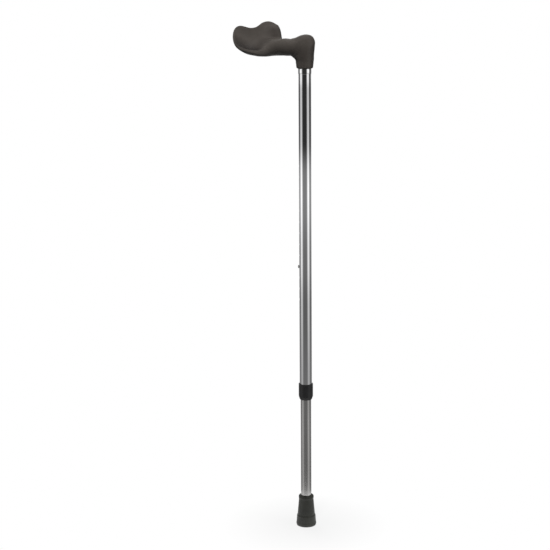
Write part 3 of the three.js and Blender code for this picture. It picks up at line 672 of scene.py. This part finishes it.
TUBE_WALL = 1.2
inner_low, inner_high = (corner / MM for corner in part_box("inner_tube"))
button_low, button_high = (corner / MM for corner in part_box("snap_button"))
button_z = (button_low.z + button_high.z) / 2
HOLE_R, HOLE_PITCH, HOLES_BELOW, HOLE_COUNT = 3.3, 20, 3, 13
PUNCH_FROM, PUNCH_TO = 5, 15  # a punch's two ends, out from the axis
upper_tube = tube("upper_tube", tube_r - TUBE_WALL, tube_r, tube_low.z / MM, tube_high.z / MM)
hole_heights = button_z + HOLE_PITCH * (np.arange(HOLE_COUNT) - HOLES_BELOW)
punches = [peg("hole", HOLE_R * MM, (-PUNCH_TO * MM, 0, z * MM), (-PUNCH_FROM * MM, 0, z * MM))
           for z in hole_heights]
screw_punch = peg("screw_hole", SHANK_HOLE_R * MM, (0, PUNCH_FROM * MM, screw_z),
                  (0, PUNCH_TO * MM, screw_z))
cut(upper_tube, [*punches, screw_punch])
true_walls(upper_tube)


def metal_look(name, dark, light, rough_low, rough_high, lines):
    """Anodised aluminium: faint cloudy tone, and fine die lines drawn out along the tube."""
    look, tree, add, shader, where = plain_look(name, light, rough_low, metal=1.0)
    tint(tree, add, shader, noise(add, where, 55, 4, (1, 1, 0.15)), dark, light)
    drawn = noise(add, where, 900, 2, (1, 1, 0.004))
    vary(tree, add, shader, "Roughness", drawn, rough_low, rough_high)
    emboss(tree, add, shader, [(drawn, lines, 0.00001)])
    return look


upper_look = metal_look("upper_tube", (0.77, 0.77, 0.78), (0.83, 0.83, 0.84), 0.07, 0.12, 0.25)
upper_tube.data.materials.append(upper_look)
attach(upper_tube, "upper")
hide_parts("outer_tube")


# ---------------------------------------------------------------- locking collar
# A turned nut in satin black plastic. It screws up over a bush on the upper tube's end, and
# the cone inside its foot squeezes a split ring on to the lower tube.
collar_low, collar_high = (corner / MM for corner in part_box("locking_collar"))
COLLAR_R = collar_high.x
BUSH_SPACE = 1.0  # room for the bush's sleeve
collar_bore = tube_r + BUSH_SPACE
lip_bore = inner_high.x + SEAT_GAP
foot, rim_z = collar_low.z, collar_high.z
collar_outline = rounded([
    (lip_bore, foot, 0.3),
    (lip_bore + 0.9, foot, 0.5),
    (COLLAR_R, foot + 5.9, 1.6),
    (COLLAR_R, rim_z, 0.7),
    (collar_bore, rim_z, 0.3),
    (collar_bore, foot + 8.7, 0.2),
    (lip_bore + 1.1, foot + 3, 0.2),
    (lip_bore, foot + 3, 0.2),
])
collar = turned("collar_nut", collar_outline)
finish_edges(collar, 50)
collar_look, tree, add, shader, where = plain_look("collar_plastic", (0.022, 0.022, 0.023), 0.34)
tint(tree, add, shader, noise(add, where, 90, 4), (0.019, 0.019, 0.020), (0.027, 0.027, 0.028))
vary(tree, add, shader, "Roughness", noise(add, where, 150, 3), 0.28, 0.42)
emboss(tree, add, shader, [(noise(add, where, 900, 2), 0.2, 0.00004),
                           (noise(add, where, 260, 2, (1, 1, 0.05)), 0.1, 0.00003)])
collar.data.materials.append(collar_look)
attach(collar, "collar")
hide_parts("locking_collar")
dress("collar_bush", hidden_black_look)


# ---------------------------------------------------------------- clamp ring and guide bush
# Off-white slippery plastic: the split ring inside the collar, and the bush in the lower
# tube's top that keeps it central in the upper tube.
white_look, tree, add, shader, where = plain_look("slippery_white_plastic", (0.75, 0.74, 0.7), 0.45)
tint(tree, add, shader, noise(add, where, 80, 3), (0.70, 0.69, 0.65), (0.78, 0.77, 0.73))
vary(tree, add, shader, "Roughness", noise(add, where, 140, 3), 0.38, 0.52)
emboss(tree, add, shader, [(noise(add, where, 700, 2), 0.15, 0.00004)])
dress("clamp_ring", white_look)
dress("guide_bush", white_look)


# ---------------------------------------------------------------- lower tube
# Drawn aluminium, 19 mm across, satin anodised: duller and a shade darker than the upper tube
# that it slides in, with coarser die lines.
LOWER_R = inner_high.x
lower_tube = tube("lower_tube", LOWER_R - TUBE_WALL, LOWER_R, inner_low.z, inner_high.z)
punch = peg("hole", HOLE_R * MM, (-PUNCH_TO * MM, 0, button_z * MM), (-4 * MM, 0, button_z * MM))
cut(lower_tube, [punch])
true_walls(lower_tube)
lower_look = metal_look("lower_tube", (0.56, 0.55, 0.54), (0.63, 0.62, 0.61), 0.16, 0.26, 0.4)
lower_tube.data.materials.append(lower_look)
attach(lower_tube, "lower")
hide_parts("inner_tube")


# ---------------------------------------------------------------- snap button and its spring
# A turned steel button with a domed head, and a flange that stops it inside the lower tube. A
# spring bent from steel strip, held in the tube by its own push, keeps the button out.
BUTTON_R = 3.0
flange_r = (button_high.z - button_low.z) / 2
tip_x, back_x = -button_low.x, -button_high.x
FLANGE, DOME = 0.8, 1.6
flange_x = back_x + FLANGE
lean = np.linspace(0, math.pi / 2, 14)[:-1]
dome = np.stack([BUTTON_R * np.cos(lean), tip_x - DOME + DOME * np.sin(lean)], 1)
button_outline = np.vstack([rounded([(flange_r, back_x, 0.2), (flange_r, flange_x, 0.2)])[3:-3],
                            [(BUTTON_R + 0.1, flange_x), (BUTTON_R, flange_x + 0.15)], dome])
button_outline = np.vstack([[(0.5, back_x), (flange_r - 0.2, back_x)], button_outline])
angle = np.linspace(0, 2 * math.pi, 64, endpoint=False)
radius, reach = np.asarray(button_outline).T[:, :, None] * MM
button_rings = np.stack([-reach + 0 * angle, radius * np.cos(angle),
                         button_z * MM + radius * np.sin(angle)], -1)
button = skin("button_head", button_rings)
finish_edges(button)
button.data.materials.append(steel_look)
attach(button, "button")
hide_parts("snap_button")
dress("button_spring", steel_look)


# ---------------------------------------------------------------- rubber tip and washer
# A moulded rubber ferrule: a rolled lip at its mouth, a tapering body, a step down to the wide
# base, and ring grooves under the foot for grip. A steel washer inside stops the tube's edge.
tip_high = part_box("rubber_tip")[1] / MM
TIP_R, TIP_TOP = tip_high.x, tip_high.z
TIP_PLAY, TIP_FLOOR, TREAD = 0.2, 14, 2  # round the tube, rubber under it, and groove depth
bore = LOWER_R + TIP_PLAY
tip_outline = [(5.8, 0, 0.3), (6.3, TREAD, 0.2), (8.7, TREAD, 0.2), (9.2, 0, 0.3),
               (10.9, 0, 0.3), (11.4, TREAD, 0.2), (13.8, TREAD, 0.2), (14.3, 0, 0.3),
               (17.6, 0, 0.9), (TIP_R, 4, 1.8), (17.75, 7.2, 1.4), (17.0, 18.4, 0.5),
               (16.5, 20.3, 0.5), (15.9, 20.7, 0.5), (13.3, TIP_TOP - 7.4, 1.4),
               (13.8, TIP_TOP - 4.9, 1.2), (13.6, TIP_TOP - 1.6, 1.0), (11.6, TIP_TOP, 0.8),
               (bore, TIP_TOP, 0.5), (bore, TIP_FLOOR, 0.3)]
tip_outline = rounded(tip_outline)
tip_outline = np.vstack([[(0.6, 0)], tip_outline[1:], [(0.6, TIP_FLOOR)]])
tip = turned("rubber_ferrule", tip_outline, ends="poles")
finish_edges(tip, 50)
RUBBER_GREY = (0.03, 0.032, 0.026)
rubber_look, tree, add, shader, where = plain_look("tip_rubber", RUBBER_GREY, 0.45, specular=0.45)
tint(tree, add, shader, noise(add, where, 45, 5), (0.022, 0.023, 0.019), (0.038, 0.039, 0.032))
vary(tree, add, shader, "Roughness", noise(add, where, 90, 4), 0.38, 0.56)
emboss(tree, add, shader, [(noise(add, where, 220, 4), 0.25, 0.0002),
                           (noise(add, where, 1300, 2), 0.3, 0.00006)])
tip.data.materials.append(rubber_look)
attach(tip, "lower")
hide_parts("rubber_tip")
dress("tip_washer", steel_look)
